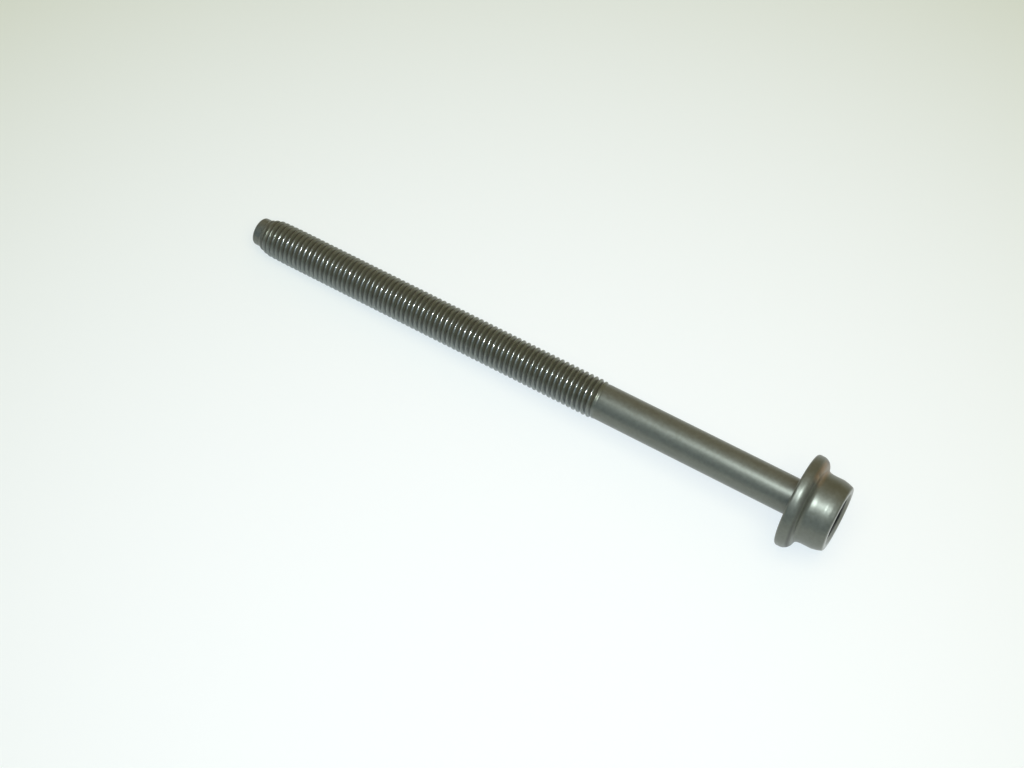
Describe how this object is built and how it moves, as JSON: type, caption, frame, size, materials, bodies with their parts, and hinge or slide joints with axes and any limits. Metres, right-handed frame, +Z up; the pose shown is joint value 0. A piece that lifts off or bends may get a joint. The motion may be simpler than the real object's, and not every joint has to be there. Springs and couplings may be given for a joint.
{
  "type": "cylinder head bolt",
  "caption": "Long steel head bolt with a round head, a flange, a plain upper shank, a long thread, a pilot point and a hexagon socket.",
  "frame": {"origin": "centre of the flat bearing face under the flange, on the bolt's axis", "axes": "+X along the bolt's axis towards the head, -X towards the point, +Z up as the bolt lies"},
  "size_m": [0.1802, 0.0256, 0.0256],
  "materials": {
    "bolt_steel": "dark grey manganese phosphate, oiled, with the thread's crests rubbed bright"
  },
  "bodies": {
    "root": {"head_bolt": "bolt_steel"}
  },
  "joints": []
}
